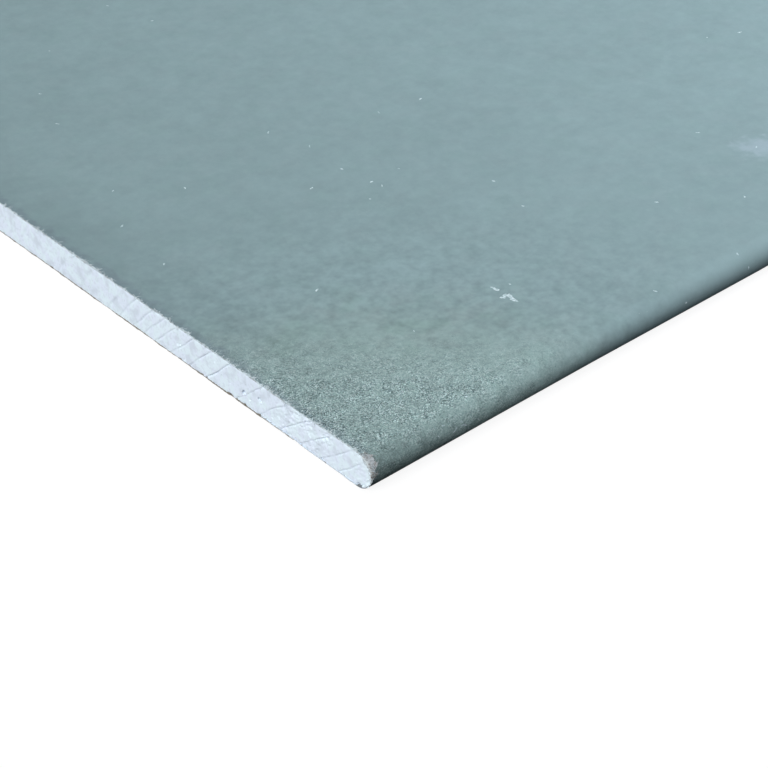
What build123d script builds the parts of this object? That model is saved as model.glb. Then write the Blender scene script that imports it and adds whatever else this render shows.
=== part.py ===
from build123d import *
import os

# A drywall sheet, lying flat with its face up: a foamed gypsum core between two paper liners.
# The green face liner runs across the top, round both long edges and a little way in under the back.
# The back liner is glued over the folded margins of the face liner.
# X runs along the sheet, parallel to the wrapped edges, Y across it, and Z up out of the face.
# The origin is under the middle of the sheet, on the plane that it lies on. Sizes are in millimetres.

# Overall size, both liners included
sheet_length = 2500.0
sheet_width = 1200.0
sheet_thickness = 12.5

# Liners
face_paper_thickness = 0.4
back_paper_thickness = 0.4

# Back of the sheet: the bare folded margin along each long edge, and how far the back liner laps over it
bare_margin_width = 35.0
lap_width = 15.0

# The wrap is a half-round at each long edge, from the back liner's top to the face
wrap_height = sheet_thickness - back_paper_thickness
wrap_centre_height = back_paper_thickness + wrap_height / 2

# The core fills the wrap, so its own edges are half-rounds on the same centres
core_width = sheet_width - 2 * face_paper_thickness
core_height = wrap_height - 2 * face_paper_thickness

# Between the two folded margins the core comes down to the back liner
back_paper_width = sheet_width - 2 * bare_margin_width
width_between_folds = back_paper_width - 2 * lap_width

half_length = sheet_length / 2

os.makedirs("parts", exist_ok=True)

# Gypsum core
with BuildPart() as gypsum_core:
    with BuildSketch(Plane.YZ):
        with Locations((0, wrap_centre_height)):
            SlotOverall(core_width, core_height)
        with Locations((0, back_paper_thickness)):
            Rectangle(
                width_between_folds,
                wrap_height / 2,
                align=(Align.CENTER, Align.MIN),
            )
    extrude(amount=half_length, both=True)
gypsum_core.part.label = "gypsum_core"
export_step(gypsum_core.part, "parts/gypsum_core.step")

# Face paper, a sleeve round the core that is open along the back between its two folded margins
with BuildPart() as face_paper:
    with BuildSketch(Plane.YZ):
        with Locations((0, wrap_centre_height)):
            SlotOverall(sheet_width, wrap_height)
            SlotOverall(core_width, core_height, mode=Mode.SUBTRACT)
        with Locations((0, back_paper_thickness)):
            Rectangle(
                width_between_folds,
                face_paper_thickness,
                align=(Align.CENTER, Align.MIN),
                mode=Mode.SUBTRACT,
            )
    extrude(amount=half_length, both=True)
face_paper.part.label = "face_paper"
export_step(face_paper.part, "parts/face_paper.step")

# Back paper, the flat liner that the sheet lies on
with BuildPart() as back_paper:
    with BuildSketch(Plane.XY):
        Rectangle(sheet_length, back_paper_width)
    extrude(amount=back_paper_thickness)
back_paper.part.label = "back_paper"
export_step(back_paper.part, "parts/back_paper.step")
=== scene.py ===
"""A moisture-resistant drywall sheet that lies flat with its green face up.

The sheet is a foamed gypsum core between two paper liners. The green face liner runs across the top,
round both long edges and a little way in under the back. The grey-brown back liner laps over it.
Both ends are cut, so the core and the torn edges of the liners show there.

X runs along the sheet, Y across it and Z up out of its face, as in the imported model. The meshes are
worked out in millimetres, and a piece is scaled to metres when it is made.
"""

import logging
import math
from abc import ABC, abstractmethod
from collections.abc import Sequence
from dataclasses import dataclass, field
from enum import Enum
from functools import cache, cached_property
from typing import NamedTuple

import bmesh
import bpy
import numpy as np
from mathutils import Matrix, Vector


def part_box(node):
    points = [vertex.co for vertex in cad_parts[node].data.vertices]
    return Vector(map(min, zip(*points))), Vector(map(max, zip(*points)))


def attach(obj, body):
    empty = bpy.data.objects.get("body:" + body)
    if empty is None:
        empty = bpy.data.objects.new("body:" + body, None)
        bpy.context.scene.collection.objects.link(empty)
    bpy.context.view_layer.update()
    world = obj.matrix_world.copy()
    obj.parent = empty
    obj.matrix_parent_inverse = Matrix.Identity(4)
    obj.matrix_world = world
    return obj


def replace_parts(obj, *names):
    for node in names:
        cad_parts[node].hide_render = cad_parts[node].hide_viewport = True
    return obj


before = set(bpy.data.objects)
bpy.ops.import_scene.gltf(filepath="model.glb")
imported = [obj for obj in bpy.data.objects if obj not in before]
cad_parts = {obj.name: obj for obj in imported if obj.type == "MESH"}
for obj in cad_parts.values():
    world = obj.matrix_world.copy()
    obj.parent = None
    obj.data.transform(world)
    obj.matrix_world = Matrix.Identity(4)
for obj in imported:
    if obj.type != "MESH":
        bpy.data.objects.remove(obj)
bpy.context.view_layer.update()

log = logging.getLogger("drywall_sheet")

MM = 0.001
BODY = "root"

Node = bpy.types.Node
Feed = Node | bpy.types.NodeSocket | float | tuple[float, ...]
SMOOTH = {"interpolation_type": "SMOOTHSTEP"}


class CutEnd(Enum):
    """The two cut ends of the sheet, each with the side of the origin that it is on."""

    NEAR = -1
    FAR = 1


class LongEdge(Enum):
    """The two wrapped long edges, each with the side of the origin that it is on."""

    FRONT = -1
    BACK = 1


def linear_colour(hex_code: str) -> tuple[float, float, float, float]:
    """Turns an sRGB hex colour into the linear colour that a socket takes.

    Args:
        hex_code: The colour, such as "#8CA4A7".

    Returns:
        Red, green and blue as linear shares, and an alpha of 1.
    """
    shares = [int(hex_code[i : i + 2], 16) / 255 for i in (1, 3, 5)]
    red, green, blue = (s / 12.92 if s <= 0.04045 else ((s + 0.055) / 1.055) ** 2.4 for s in shares)
    return red, green, blue, 1.0


def smooth_step(values: np.ndarray, low: float, high: float) -> np.ndarray:
    """Rises smoothly from 0 at low to 1 at high, or falls if high is the smaller.

    Args:
        values: Where it is read.
        low: Where it is 0.
        high: Where it is 1.

    Returns:
        The shares, shaped like values.
    """
    t = np.clip((np.asarray(values, float) - low) / (high - low), 0, 1)
    return t * t * (3 - 2 * t)


LATTICE = 509


@cache
def drawn_lattice(seed: int) -> np.ndarray:
    """Draws a square of random values from -1 to 1.

    Args:
        seed: The seed of the draw.

    Returns:
        The values.
    """
    return np.random.default_rng(seed).uniform(-1, 1, (LATTICE, LATTICE))


class Unevenness:
    """Smooth seeded noise over a plane. The torn edges and the rough cut faces are shaped by it."""

    def __init__(self, seed: int) -> None:
        """Picks the values that the noise runs between.

        Args:
            seed: The seed of their draw.
        """
        self.lattice = drawn_lattice(seed)

    def __call__(self, along: np.ndarray, across: np.ndarray | float, cell: float) -> np.ndarray:
        """Reads the noise.

        Args:
            along: Places along the plane, in millimetres.
            across: Places across it, in millimetres.
            cell: The size of one bump, in millimetres.

        Returns:
            Values from -1 to 1.
        """
        u, v = np.broadcast_arrays(np.asarray(along, float) / cell, np.asarray(across, float) / cell)
        i, j = np.floor(u).astype(int), np.floor(v).astype(int)
        p, q = smooth_step(u - i, 0, 1), smooth_step(v - j, 0, 1)
        corner = {
            (a, b): self.lattice[(i + a) % LATTICE, (j + b) % LATTICE] for a in (0, 1) for b in (0, 1)
        }
        low = corner[0, 0] * (1 - p) + corner[1, 0] * p
        high = corner[0, 1] * (1 - p) + corner[1, 1] * p
        return low * (1 - q) + high * q


class MeshDraft:
    """The points and faces of one piece, in millimetres, until it is made into an object."""

    SHARP_ANGLE = math.radians(42)

    def __init__(self) -> None:
        """Starts with nothing in it."""
        self.points: list[np.ndarray] = []
        self.faces: list[tuple[int, ...]] = []
        self.finish_slots: list[int] = []
        self.count = 0

    def add_points(self, x: np.ndarray, y: np.ndarray, z: np.ndarray) -> np.ndarray:
        """Adds points.

        Args:
            x: Places along the sheet. The three may be of different shapes that fit together.
            y: Places across it.
            z: Heights.

        Returns:
            The points' numbers, in the shape that the three have together.
        """
        x, y, z = np.broadcast_arrays(x, y, z)
        numbers = np.arange(x.size).reshape(x.shape) + self.count
        self.points.append(np.stack([x, y, z], -1).reshape(-1, 3).astype(float))
        self.count += x.size
        return numbers

    def add_faces(self, faces: Sequence[Sequence[int]], finish_slot: int = 0) -> None:
        """Adds faces, and drops the corners that a face has twice.

        Args:
            faces: The numbers of each face's points.
            finish_slot: Which of the piece's finishes they have.
        """
        for corners in faces:
            distinct = tuple(dict.fromkeys(corners))
            if len(distinct) > 2:
                self.faces.append(distinct)
                self.finish_slots.append(finish_slot)

    def add_grid(self, grid: np.ndarray, finish_slot: int = 0) -> None:
        """Fills a grid of points with four-sided faces.

        Args:
            grid: The numbers of the points, in rows.
            finish_slot: Which of the piece's finishes they have.
        """
        quads = np.stack([grid[:-1, :-1], grid[1:, :-1], grid[1:, 1:], grid[:-1, 1:]], -1)
        self.add_faces(quads.reshape(-1, 4).tolist(), finish_slot)

    def add_seam(
        self,
        first: Sequence[int],
        first_at: Sequence[float],
        second: Sequence[int],
        second_at: Sequence[float],
        finish_slot: int = 0,
    ) -> None:
        """Joins two lines of points that are spaced differently with a strip of triangles.

        Args:
            first: The numbers of one line's points.
            first_at: How far along the line each of them is.
            second: The numbers of the other line's points.
            second_at: How far along its line each of them is, on the same scale.
            finish_slot: Which of the piece's finishes the strip has.
        """
        triangles = []
        i = j = 0
        while i < len(first) - 1 or j < len(second) - 1:
            first_is_next = j == len(second) - 1 or (
                i < len(first) - 1 and first_at[i + 1] <= second_at[j + 1]
            )
            if first_is_next:
                triangles.append((first[i], first[i + 1], second[j]))
                i += 1
            else:
                triangles.append((first[i], second[j + 1], second[j]))
                j += 1
        self.add_faces([[int(n) for n in corners] for corners in triangles], finish_slot)

    def add_rod(
        self,
        path: np.ndarray,
        widths: np.ndarray,
        flatness: float = 1.0,
        finish_slot: int = 0,
        upward: Sequence[float] | np.ndarray = (0.02, 0.01, 1.0),
    ) -> None:
        """Adds a thin closed rod or ribbon with four sides that follows a path.

        Args:
            path: The points of its middle line, in rows.
            widths: How wide it is at each of them.
            flatness: How high it is for its width.
            finish_slot: Which of the piece's finishes it has.
            upward: Which way its upper side looks, in all or at each of the points.
        """
        ahead = np.gradient(path, axis=0)
        ahead /= np.linalg.norm(ahead, axis=1, keepdims=True) + 1e-9
        side = np.cross(ahead, upward)
        side /= np.linalg.norm(side, axis=1, keepdims=True)
        rise = np.cross(side, ahead)
        half = widths[:, None, None] / 2
        corners = np.stack([side, rise * flatness, -side, -rise * flatness], 1) * half + path[:, None]
        rings = self.add_points(corners[..., 0], corners[..., 1], corners[..., 2])
        self.add_grid(np.concatenate([rings, rings[:, :1]], 1), finish_slot)
        self.add_faces([rings[0].tolist(), rings[-1].tolist()], finish_slot)

    def make(self, name: str, finishes: Sequence[bpy.types.Material], slot: str) -> bpy.types.Object:
        """Makes the object, with its faces turned outwards, and lets it ride on the sheet.

        Args:
            name: The piece's name.
            finishes: Its materials, in the order of the finish slots.
            slot: The record's material slot. It is not used.

        Returns:
            The object.
        """
        mesh = bpy.data.meshes.new(name)
        mesh.from_pydata((np.concatenate(self.points) * MM).tolist(), [], self.faces)
        for finish in finishes:
            mesh.materials.append(finish)
        mesh.polygons.foreach_set("material_index", self.finish_slots)
        mesh.polygons.foreach_set("use_smooth", [True] * len(self.faces))
        turned = bmesh.new()
        turned.from_mesh(mesh)
        bmesh.ops.recalc_face_normals(turned, faces=turned.faces)
        turned.to_mesh(mesh)
        turned.free()
        mesh.set_sharp_from_angle(angle=self.SHARP_ANGLE)
        piece = bpy.data.objects.new(name, mesh)
        bpy.context.scene.collection.objects.link(piece)
        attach(piece, BODY)
        triangles = sum(len(corners) - 2 for corners in self.faces)
        log.info("%s: %d points, %d triangles", name, self.count, triangles)
        return piece


@dataclass(frozen=True)
class SheetForm:
    """The sheet's sizes in millimetres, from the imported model, and the shape of its section.

    A place on the face liner is given by how far it is from the middle of the face, measured along the
    outside of the wrap. It is negative towards the front long edge.

    Attributes:
        half_length: Half the sheet's length.
        half_width: Half its width.
        thickness: Its thickness.
        face_paper: Thickness of the face liner.
        back_paper: Thickness of the back liner.
        back_half_width: Half the width of the back liner.
        lap: How far the back liner laps over each folded margin of the face liner.
        wave_depth: How far the waves of the long edges reach in.
        wave_length: How long one wave is.
        skin: How far the liners' outer surfaces lie inside the sheet's outline.
        settled: How far the folded margins have settled beside the back liner.
        wave: What makes the waves differ.
    """

    half_length: float
    half_width: float
    thickness: float
    face_paper: float
    back_paper: float
    back_half_width: float
    lap: float = 15.0
    wave_depth: float = 0.62
    wave_length: float = 170.0
    skin: float = 0.04
    settled: float = 0.33
    wave: Unevenness = field(default_factory=lambda: Unevenness(11))

    @classmethod
    def from_frame(cls) -> "SheetForm":
        """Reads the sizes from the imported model's nodes.

        Returns:
            The form.
        """
        face_low, face_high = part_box("face_paper")
        core_low, core_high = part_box("gypsum_core")
        back_low, back_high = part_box("back_paper")
        return cls(
            half_length=face_high.x / MM,
            half_width=face_high.y / MM,
            thickness=face_high.z / MM,
            face_paper=(face_high.z - core_high.z) / MM,
            back_paper=(back_high.z - back_low.z) / MM,
            back_half_width=back_high.y / MM,
        )

    @property
    def wrap_radius(self) -> float:
        """Outer radius of the half-round wrap."""
        return (self.thickness - self.back_paper) / 2

    @property
    def wrap_centre(self) -> float:
        """Height of the half-round's centre."""
        return self.back_paper + self.wrap_radius

    @property
    def flat_half(self) -> float:
        """Half the width of the flat part of the face."""
        return self.half_width - self.wrap_radius

    @property
    def fold_half(self) -> float:
        """How far from the middle the folded margins of the face liner end, under the back liner."""
        return self.back_half_width - self.lap

    @property
    def wrap_length(self) -> float:
        """Length of the half-round, measured along its outside."""
        return math.pi * self.wrap_radius

    @property
    def liner_half(self) -> float:
        """From the middle of the face to the end of the folded margin, measured along the outside."""
        return self.flat_half + self.wrap_length + (self.flat_half - self.fold_half)

    def draw_in(self, x: np.ndarray, y: np.ndarray) -> np.ndarray:
        """How far the slightly wavy long edges lie inside their straight line, in the Y of a place.

        Args:
            x: Places along the sheet.
            y: Places across it, as on a straight sheet.

        Returns:
            What is added to y.
        """
        near_edge = smooth_step(np.abs(y), self.flat_half - 4 * self.wrap_radius, self.flat_half)
        swell = np.sin(np.pi * (x + self.half_length) / self.wave_length) ** 2
        swell = swell * (0.8 + 0.2 * self.wave(x, np.sign(y) * self.wave_length, self.wave_length))
        return -np.sign(y) * self.wave_depth * swell * near_edge

    def drop(self, y: np.ndarray) -> np.ndarray:
        """How far the folded margins have settled below the straight wrap, beside the back liner.

        Args:
            y: Places across the sheet.

        Returns:
            The distances.
        """
        return self.settled * smooth_step(np.abs(y), self.back_half_width + 0.6, self.back_half_width + 4)

    def wrap_place(self, out: np.ndarray, x: np.ndarray, depth: np.ndarray) -> tuple[np.ndarray, np.ndarray]:
        """Finds a place in the face liner.

        Args:
            out: How far from the middle of the face it is, measured along the outside.
            x: Where along the sheet it is.
            depth: How far under the liner's outer surface it is.

        Returns:
            The Y and Z of the place.
        """
        out, x, depth = np.broadcast_arrays(out, x, depth)
        beyond = np.abs(out) - self.flat_half
        turn = np.clip(beyond / self.wrap_radius, 0, math.pi)
        reach = self.wrap_radius - depth
        flat = np.minimum(beyond, 0) - np.maximum(beyond - self.wrap_length, 0)
        y = np.sign(out) * (self.flat_half + flat + reach * np.sin(turn))
        z = self.wrap_centre + reach * np.cos(turn) + self.drop(y) * np.minimum(np.cos(turn), 0)
        return y + self.draw_in(x, y), z


class Wiring:
    """The nodes of a material or of the world."""

    def __init__(self, owner: bpy.types.Material | bpy.types.World) -> None:
        """Starts with no nodes.

        Args:
            owner: The material or the world.
        """
        owner.use_nodes = True
        self.tree = owner.node_tree
        self.tree.nodes.clear()

    def add(self, kind: str, feeds: Sequence[Feed] | dict[str, Feed] = (), **settings: object) -> Node:
        """Adds a node, with its settings, its inputs' values and its links.

        Args:
            kind: The node's kind, without the words ShaderNode before it.
            feeds: What its inputs get, by name, or in order for the inputs that its settings show. Each
                is a value, a socket, or a node, which stands for its first output.
            **settings: The node's own settings.

        Returns:
            The node.
        """
        node = self.tree.nodes.new("ShaderNode" + kind)
        for name, value in settings.items():
            setattr(node, name, value)
        if isinstance(feeds, dict):
            pairs = [(node.inputs[name], feed) for name, feed in feeds.items()]
        else:
            pairs = list(zip([socket for socket in node.inputs if socket.enabled], feeds, strict=False))
        for socket, feed in pairs:
            if isinstance(feed, Node):
                feed = next(output for output in feed.outputs if output.enabled)
            if isinstance(feed, bpy.types.NodeSocket):
                self.tree.links.new(feed, socket)
            else:
                socket.default_value = feed
        return node


class Canvas(Wiring):
    """The nodes of a finish. Its patterns are laid out in millimetres on the sheet."""

    def __init__(self, material: bpy.types.Material, form: SheetForm) -> None:
        """Starts with the place on the sheet.

        Args:
            material: The material.
            form: The sheet's sizes.
        """
        super().__init__(material)
        self.form = form
        spot = self.add("TexCoord").outputs["Object"]
        self.place = self.add("VectorMath", (spot, (1 / MM,) * 3), operation="MULTIPLY")

    @cached_property
    def height(self) -> bpy.types.NodeSocket:
        """How high a place is over the underside."""
        return self.add("SeparateXYZ", (self.place,)).outputs["Z"]

    @cached_property
    def from_end(self) -> Node:
        """How far in from the nearer cut end a place is."""
        return self.inward("X", self.form.half_length)

    @cached_property
    def from_edge(self) -> Node:
        """How far in from the nearer long edge a place is."""
        return self.inward("Y", self.form.half_width)

    def inward(self, axis: str, half: float) -> Node:
        """Measures how far in from the nearer of two sides a place is.

        Args:
            axis: The axis from side to side.
            half: Half the distance between the sides.

        Returns:
            The distance.
        """
        along = self.add("SeparateXYZ", (self.place,)).outputs[axis]
        away = self.add("Math", (along,), operation="ABSOLUTE")
        return self.add("Math", (half, away), operation="SUBTRACT")

    def mottle(self, size: float, detail: float = 2.0, shift: float = 0.0) -> Node:
        """Adds cloudy patches.

        Args:
            size: How large they are, in millimetres.
            detail: How many finer layers they hold.
            shift: How far the pattern is moved, so that two of one size differ.

        Returns:
            A value that is 0.5 on average.
        """
        moved = self.add("VectorMath", (self.place, (shift, 2 * shift, 0.0)), operation="ADD")
        feeds = {"Vector": moved, "Scale": 1 / size, "Detail": detail, "Roughness": 0.55}
        return self.add("TexNoise", feeds)

    def ragged(self, value: Feed, swing: float, size: float, detail: float, shift: float) -> Node:
        """Moves a distance to and fro in cloudy patches, so that the edge of what it bounds is uneven.

        Args:
            value: The distance.
            swing: How far it moves in all.
            size: How large the patches are, in millimetres.
            detail: How many finer layers they hold.
            shift: How far their pattern is moved.

        Returns:
            The uneven distance.
        """
        patches = self.mottle(size, detail, shift)
        change = self.add("Math", (patches, swing, -swing / 2), operation="MULTIPLY_ADD")
        return self.add("Math", (value, change), operation="ADD")

    def layered(self, ground: str, layers: Sequence[tuple[Feed, str]]) -> Feed:
        """Lays tints over a ground colour, one after the other.

        Args:
            ground: The ground's hex colour.
            layers: For each tint, how much of it there is and its hex colour.

        Returns:
            The colour.
        """
        colour: Feed = linear_colour(ground)
        for share, hue in layers:
            colour = self.add("Mix", (share, colour, linear_colour(hue)), data_type="RGBA")
        return colour


class Finish(ABC):
    """A material. Its colour and its relief are painted, and the rest is the same all over.

    The relief's depth is in millimetres.
    """

    name: str
    roughness: float
    relief_strength: float
    relief_depth: float

    def make(self, form: SheetForm) -> bpy.types.Material:
        """Makes the material.

        Args:
            form: The sheet's sizes, which place what is worn or dusty at its edges.

        Returns:
            The material.
        """
        material = bpy.data.materials.new(self.name)
        canvas = Canvas(material, form)
        colour, relief = self.paint(canvas)
        feeds = {"Strength": self.relief_strength, "Distance": self.relief_depth * MM, "Height": relief}
        bump = canvas.add("Bump", feeds)
        feeds = {"Base Color": colour, "Roughness": self.roughness, "Specular IOR Level": 0.0, "Normal": bump}
        canvas.add("OutputMaterial", {"Surface": canvas.add("BsdfPrincipled", feeds)})
        return material

    @abstractmethod
    def paint(self, canvas: Canvas) -> tuple[Feed, Node]:
        """Adds the nodes of the finish.

        Args:
            canvas: Where they are added.

        Returns:
            The colour and the relief.
        """


@dataclass(frozen=True)
class FibrePattern:
    """The fibres in a recycled paper, as short, slightly bent threads that lie every way.

    Real fibres are 1 to 3 mm long and about 0.03 mm wide. They are drawn about 0.2 mm wide, because a
    thinner one is too fine to show in the render.
    """

    spacings: tuple[float, ...] = (1.1, 1.7, 2.6)
    half_width: float = 0.115
    bend: float = 0.5
    length: float = 1.1

    def add(self, canvas: Canvas, shift: float = 0.0) -> Feed:
        """Adds one set of fibres.

        Args:
            canvas: Where it is added.
            shift: How far the set is moved, so that two of them differ.

        Returns:
            1 on a fibre, and 0 beside it.
        """
        add = canvas.add
        drift = add("TexNoise", {"Vector": canvas.place, "Scale": 0.6, "Detail": 1.0}).outputs["Color"]
        bent = add("VectorMath", (drift, (2 * self.bend,) * 3, canvas.place), operation="MULTIPLY_ADD")
        shown: Feed = 0.0
        for spacing in self.spacings:
            at = shift + 31.0 * spacing
            moved = add("VectorMath", (bent, (at, at, 0.0)), operation="ADD")
            cells = add("TexVoronoi", {"Vector": moved, "Scale": 1 / spacing}, feature="DISTANCE_TO_EDGE")
            edge = self.half_width / spacing
            line = add("MapRange", (cells, edge, 0.3 * edge), **SMOOTH)
            run = add("MapRange", (canvas.mottle(self.length, 0.0, at), 0.50, 0.60), **SMOOTH)
            shown = add("Math", (shown, add("Math", (line, run), operation="MULTIPLY")), operation="MAXIMUM")
        return shown


class PaperWear(NamedTuple):
    """What handling has done to the face paper, place by place, and the shade and light painted on its wraps.

    Attributes:
        rubbed: How far its fibres are rubbed up.
        flecked: How strongly they show as light and dark flecks.
        paled: How far it is rubbed pale.
        bruised: How far it is bruised beside the cut.
        dulled: How far it is dulled near the cut.
        clouded: How strong its cloudy patches are.
        tinted: How strong its coloured patches are.
        painted_wrap_light_and_shade: Painted shade on the wraps near the cut ends, and painted light on them
            further along.
    """

    rubbed: Node
    flecked: Node
    paled: Node
    bruised: Node
    dulled: Node
    clouded: Node
    tinted: Node
    painted_wrap_light_and_shade: Node


@dataclass(frozen=True)
class GreenFacePaper(Finish):
    """The face liner: recycled paper, dyed grey-green through its top ply and lightly pressed.

    To the eye it is matt, with cloudy patches a few millimetres wide and an edge at each cut end that is
    bruised a little darker. Across the corners, where hands have rubbed it up, it is paler, with light and
    dark flecks and short fibres in it.

    A band is where a kind of wear, or the painted shade and painted light on the wraps, begins and where
    it is full, in millimetres from the corner, the cut end or the long edge. The wraps are painted darker
    near the cut ends, as shade, and lighter further along, as light. A corner's wear runs out across it in
    straight lines or in ovals, which the shares of the distances from the cut end and the long edge give.
    """

    name: str = "green_face_paper"
    roughness: float = 0.95
    relief_strength: float = 1.0
    relief_depth: float = 0.13
    ground: str = "#8BA2A6"
    dark_fibre: str = "#546B6E"
    light_fibre: str = "#CBDDDE"
    warm_patch: str = "#929FA4"
    green_patch: str = "#82A09D"
    yellowed: str = "#8A9E99"
    dark_speck: str = "#394B4E"
    light_speck: str = "#E4F0F2"
    rubbed_ground: str = "#97B0AE"
    bruise: str = "#7E8E96"
    smudge: str = "#BCCBDA"
    smudge_place: tuple[float, float] = (220.5, 43.5)
    smudge_band: tuple[float, float] = (11.0, 1.0)
    corner_line: tuple[float, float, float] = (0.665, 0.748, 0.0)
    corner_oval: tuple[float, float, float] = (0.95, 1.10, 0.0)
    handled_band: tuple[float, float] = (70.0, 30.0)
    paled_band: tuple[float, float] = (80.0, 28.0)
    clouded_band: tuple[float, float] = (165.0, 60.0)
    tinted_band: tuple[float, float] = (105.0, 45.0)
    bruised_band: tuple[float, float] = (4.5, 1.0)
    dulled_band: tuple[float, float] = (32.0, 2.0)
    wrap_band: tuple[float, float] = (6.5, 2.0)
    # The next two bands place painted shade near the cut ends and painted light further along the wraps.
    painted_wrap_shade_band: tuple[float, float] = (50.0, 4.0)
    painted_wrap_light_band: tuple[float, float] = (40.0, 120.0)
    fibres: FibrePattern = FibrePattern()

    def smudged(self, canvas: Canvas) -> Node:
        """Adds a smudge of gypsum dust near the front long edge.

        Args:
            canvas: Where it is added.

        Returns:
            1 in its middle, and 0 beside it.
        """
        add, form = canvas.add, canvas.form
        along, across = self.smudge_place
        middle = (along - form.half_length, across - form.half_width, 0.0)
        way = add("VectorMath", (canvas.place, middle), operation="SUBTRACT")
        flat_way = add("VectorMath", (way, (1.0, 1.0, 0.0)), operation="MULTIPLY")
        away = add("VectorMath", (flat_way,), operation="LENGTH")
        uneven = canvas.ragged(away, 24.0, 6.0, 3.0, 210.0)
        return add("MapRange", (uneven, *self.smudge_band), **SMOOTH)

    def wear(self, canvas: Canvas) -> PaperWear:
        """Says how worn the paper is: most across the corners and along the cut ends.

        It also gives the painted shade and painted light on the wraps.

        Args:
            canvas: Where it is worked out.

        Returns:
            The wear.
        """
        add = canvas.add
        corner = add("CombineXYZ", (canvas.from_end, canvas.from_edge))
        across_corner = add("VectorMath", (corner, self.corner_line), operation="DOT_PRODUCT")
        stretched = add("VectorMath", (corner, self.corner_oval), operation="MULTIPLY")
        from_corner = add("VectorMath", (stretched,), operation="LENGTH")
        handled = add("MapRange", (across_corner, *self.handled_band, 0.03, 1.0), **SMOOTH)
        clump = add("MapRange", (canvas.mottle(3.6, 2.0, 60.0), 0.34, 0.66, 0.65, 1.35), **SMOOTH)
        clumped = add("Math", (handled, clump), operation="MULTIPLY")
        spared = add("MapRange", (canvas.from_edge, *self.wrap_band, 1.0, 0.5), **SMOOTH)
        rubbed = add("Math", (clumped, spared), operation="MULTIPLY")
        uneven = canvas.ragged(across_corner, 40.0, 16.0, 2.0, 90.0)
        paled = add("MapRange", (uneven, *self.paled_band), **SMOOTH)
        uneven = canvas.ragged(canvas.from_end, 9.0, 4.0, 3.0, 80.0)
        dust = add("MapRange", (canvas.from_end, *self.dulled_band), **SMOOTH)
        # Painted shade darkens the wraps near the cut ends, and painted light lightens them further along.
        dark = add("MapRange", (canvas.from_end, *self.painted_wrap_shade_band, 0.0, -0.26), **SMOOTH)
        light = add("MapRange", (canvas.from_end, *self.painted_wrap_light_band, 0.0, 0.08), **SMOOTH)
        painted_wrap_shading = add("Math", (dark, light), operation="ADD")
        on_wrap = add("MapRange", (canvas.from_edge, *self.wrap_band), **SMOOTH)
        return PaperWear(
            rubbed=rubbed,
            flecked=add("Math", (rubbed, handled), operation="MULTIPLY"),
            paled=paled,
            bruised=add("MapRange", (uneven, *self.bruised_band), **SMOOTH),
            dulled=add("Math", (paled, -0.8, dust), operation="MULTIPLY_ADD"),
            clouded=add("MapRange", (from_corner, *self.clouded_band, 0.20, 1.0), **SMOOTH),
            tinted=add("MapRange", (from_corner, *self.tinted_band, 0.15, 1.0), **SMOOTH),
            painted_wrap_light_and_shade=add("Math", (painted_wrap_shading, on_wrap), operation="MULTIPLY"),
        )

    def shading(self, canvas: Canvas, grain: Node, wear: PaperWear) -> Node:
        """Adds how light the paper is from place to place, from wide clouds down to its grain.

        Args:
            canvas: Where it is added.
            grain: The paper's grain.
            wear: How worn it is.

        Returns:
            What the colour is multiplied by.
        """
        add, mottle = canvas.add, canvas.mottle
        patchy = add("Math", (wear.rubbed, 0.65), operation="MULTIPLY")
        patchy = add("Math", (wear.clouded, 0.35, patchy), operation="MULTIPLY_ADD")
        layers = (
            (mottle(55.0, 3.0), 0.10, 1.0),
            (mottle(9.0, 1.0, 130.0), 0.14, 1.0),
            (mottle(3.4, 1.0, 110.0), 0.50, wear.clouded),
            (mottle(1.3, 1.0, 170.0), 0.50, patchy),
            (grain, 2.0, wear.flecked),
        )
        shade = add("Math", (wear.dulled, -0.09, 1.0), operation="MULTIPLY_ADD")
        # Painted shade and painted light on the wraps.
        shade = add("Math", (shade, wear.painted_wrap_light_and_shade), operation="ADD")
        for patches, strength, where in layers:
            change = add("Math", (patches, strength, -strength / 2), operation="MULTIPLY_ADD")
            shade = add("Math", (change, where, shade), operation="MULTIPLY_ADD")
        return shade

    def specks(self, canvas: Canvas, apart: float, shift: float) -> Node:
        """Adds small round specks.

        Args:
            canvas: Where they are added.
            apart: How far they are apart, in millimetres.
            shift: How far the pattern is moved, so that two of them differ.

        Returns:
            0.8 on a speck, and 0 beside it.
        """
        moved = canvas.add("VectorMath", (canvas.place, (shift, 0.0, 0.0)), operation="ADD")
        away = canvas.add("TexVoronoi", {"Vector": moved, "Scale": 1 / apart})
        return canvas.add("MapRange", (away, 0.24 / apart, 0.14 / apart, 0.0, 0.8), **SMOOTH)

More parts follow.
